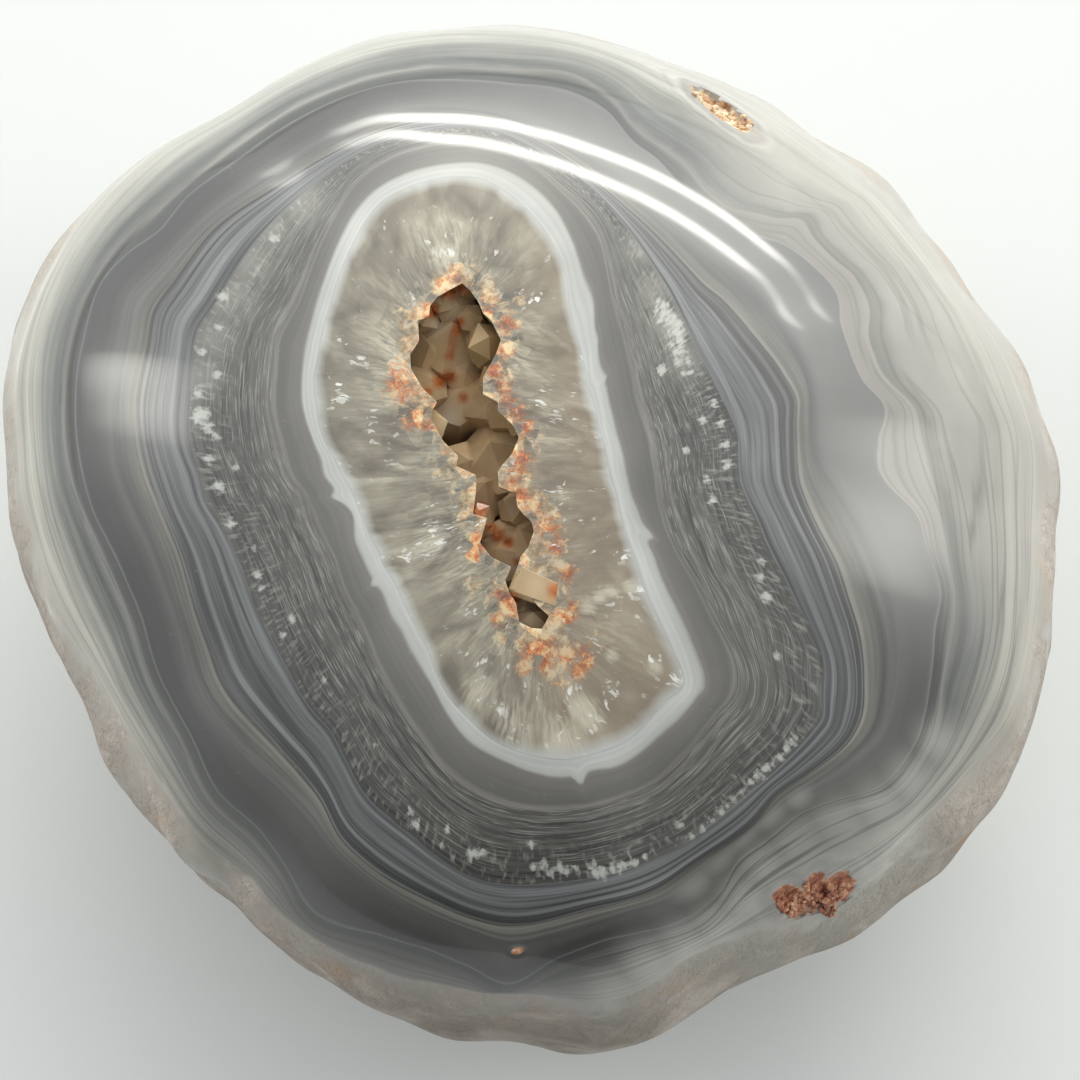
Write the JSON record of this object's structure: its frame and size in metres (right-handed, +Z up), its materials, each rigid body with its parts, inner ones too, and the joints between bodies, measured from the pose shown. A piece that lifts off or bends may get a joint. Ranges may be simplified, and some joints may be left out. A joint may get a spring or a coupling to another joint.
{
  "type": "polished agate geode",
  "caption": "Rounded agate nodule with a polished, finely banded dome cut through to a slot-shaped quartz-lined hollow, and a natural back with a small flat resting spot.",
  "frame": {"origin": "under the middle of the stone's box, level with the flat spot that it rests on", "axes": "+Z up through the polished dome; the hollow's long mouth runs nearly along Y, and the pictured side faces -Y"},
  "size_m": [0.0363, 0.0359, 0.0231],
  "materials": {
    "banded_chalcedony": "polished",
    "quartz_crystal": "gloss"
  },
  "bodies": {
    "root": {"agate_nodule": "banded_chalcedony", "crystal_crust": "quartz_crystal"}
  },
  "joints": []
}
